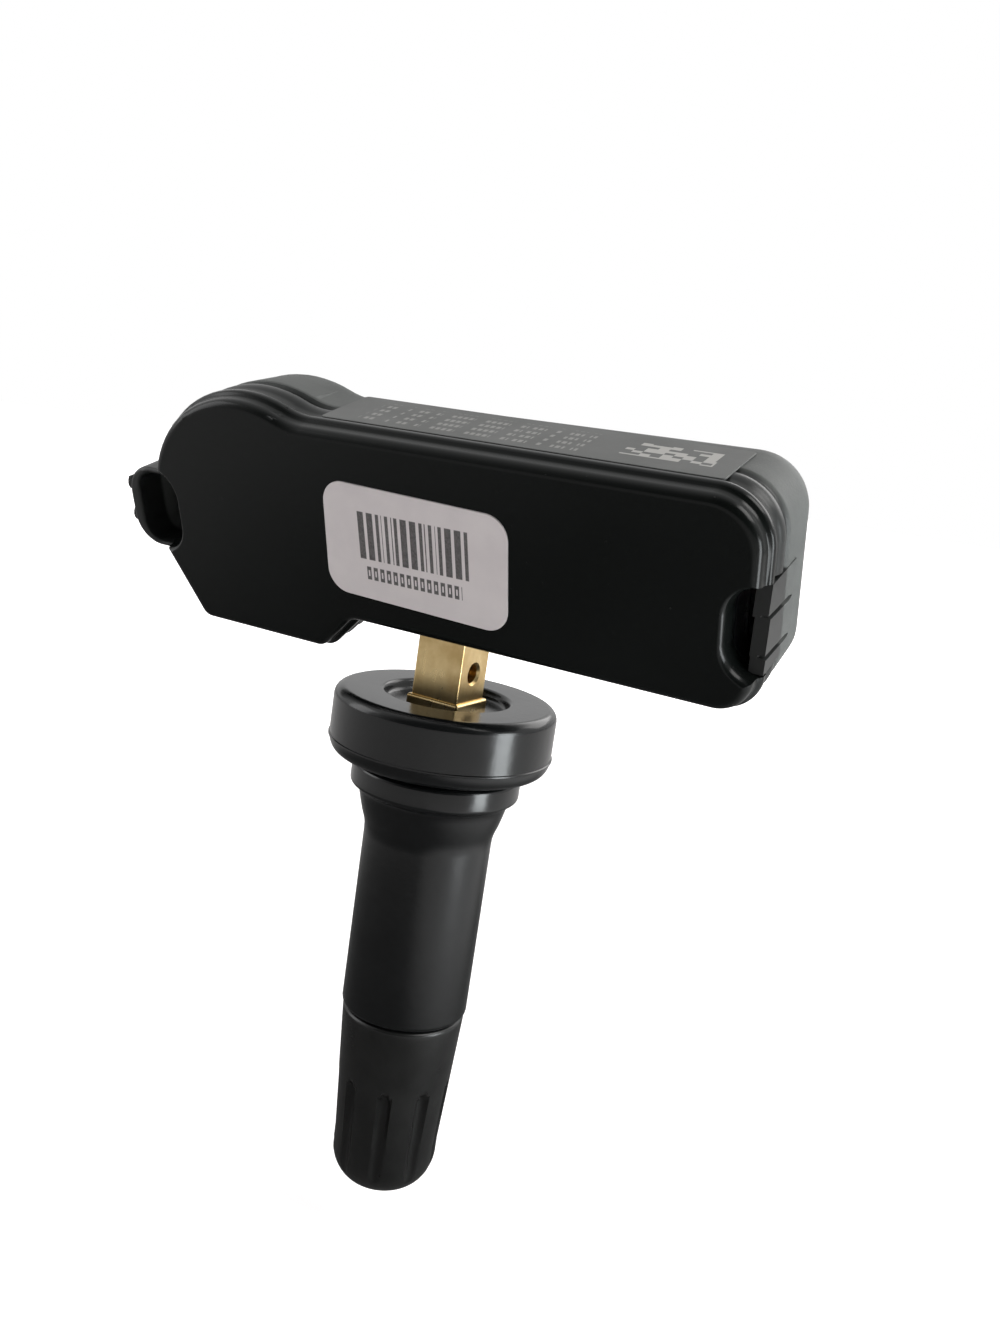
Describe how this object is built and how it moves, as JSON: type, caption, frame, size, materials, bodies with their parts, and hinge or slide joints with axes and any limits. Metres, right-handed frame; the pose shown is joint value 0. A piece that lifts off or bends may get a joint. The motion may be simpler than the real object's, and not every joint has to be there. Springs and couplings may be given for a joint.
{
  "type": "tyre pressure sensor",
  "caption": "Snap-in tyre pressure sensor: a sealed electronics case with a battery head, screwed to a rubber valve with a dust cap.",
  "frame": {"origin": "centre of the valve hole in the wheel rim, on the plane where the rubber flange meets the rim", "axes": "+Z along the valve axis towards the case, with the cap pointing down; +X along the case's arm; -Y towards the case's cover"},
  "size_m": [0.0604, 0.0209, 0.0699],
  "materials": {
    "housing": "fine moulded texture",
    "cover": "polished",
    "front_label": "printed film",
    "top_label": "matt printed film",
    "circuit_board": "solder mask",
    "coin_cell": "nickel plated",
    "battery_tab_positive": "nickel strip",
    "battery_tab_negative": "nickel strip",
    "sensor_chip": "moulded resin",
    "port_seal": "soft silicone",
    "port_membrane": "breathing film",
    "antenna": "plated strip",
    "lf_coil_core": "ferrite",
    "lf_coil_winding": "enamelled copper wire",
    "crystal": "metal can",
    "chip_capacitors": "fired",
    "chip_resistors": "fired",
    "post_screw": "zinc plated",
    "brass_stem": "drawn and turned",
    "rubber_valve": "glossy moulded",
    "core_barrel": "turned",
    "core_gasket": "moulded",
    "core_pin": "drawn wire",
    "core_seal": "moulded",
    "core_spring": "spring wire",
    "cap": "satin moulded",
    "cap_washer": "moulded"
  },
  "bodies": {
    "sensor": {"housing": "housing", "cover": "cover", "front_label": "front_label", "top_label": "top_label", "circuit_board": "circuit_board", "coin_cell": "coin_cell", "battery_tab_positive": "battery_tab_positive", "battery_tab_negative": "battery_tab_negative", "sensor_chip": "sensor_chip", "port_seal": "port_seal", "port_membrane": "port_membrane", "antenna": "antenna", "lf_coil_core": "lf_coil_core", "lf_coil_winding": "lf_coil_winding", "crystal": "crystal", "chip_capacitors": "chip_capacitors", "chip_resistors": "chip_resistors", "post_screw": "post_screw", "brass_stem": "brass_stem", "rubber_valve": "rubber_valve", "core_barrel": "core_barrel", "core_gasket": "core_gasket", "core_spring": "core_spring"},
    "washer": {"cap_washer": "cap_washer"},
    "cap": {"cap": "cap"},
    "core": {"core_pin": "core_pin", "core_seal": "core_seal"}
  },
  "joints": [
    {"name": "cap_travel", "type": "slide", "parent": "sensor", "child": "washer", "axis": [0, 0, -1], "range_m": [0, 0.00595]},
    {"name": "cap_turn", "type": "hinge", "parent": "washer", "child": "cap", "pos_m": [0, 0, -0.0228], "axis": [0, 0, -1], "range_deg": [0, 2700]},
    {"name": "core_press", "type": "slide", "parent": "sensor", "child": "core", "axis": [0, 0, 1], "range_m": [0, 0.0015], "stiffness_N_per_m": 400, "springref_m": -0.003, "deforming": ["core_spring"]}
  ],
  "couplings": [
    {"joint": "cap_turn", "follows": "cap_travel", "rad_per_m": 7913.3}
  ]
}
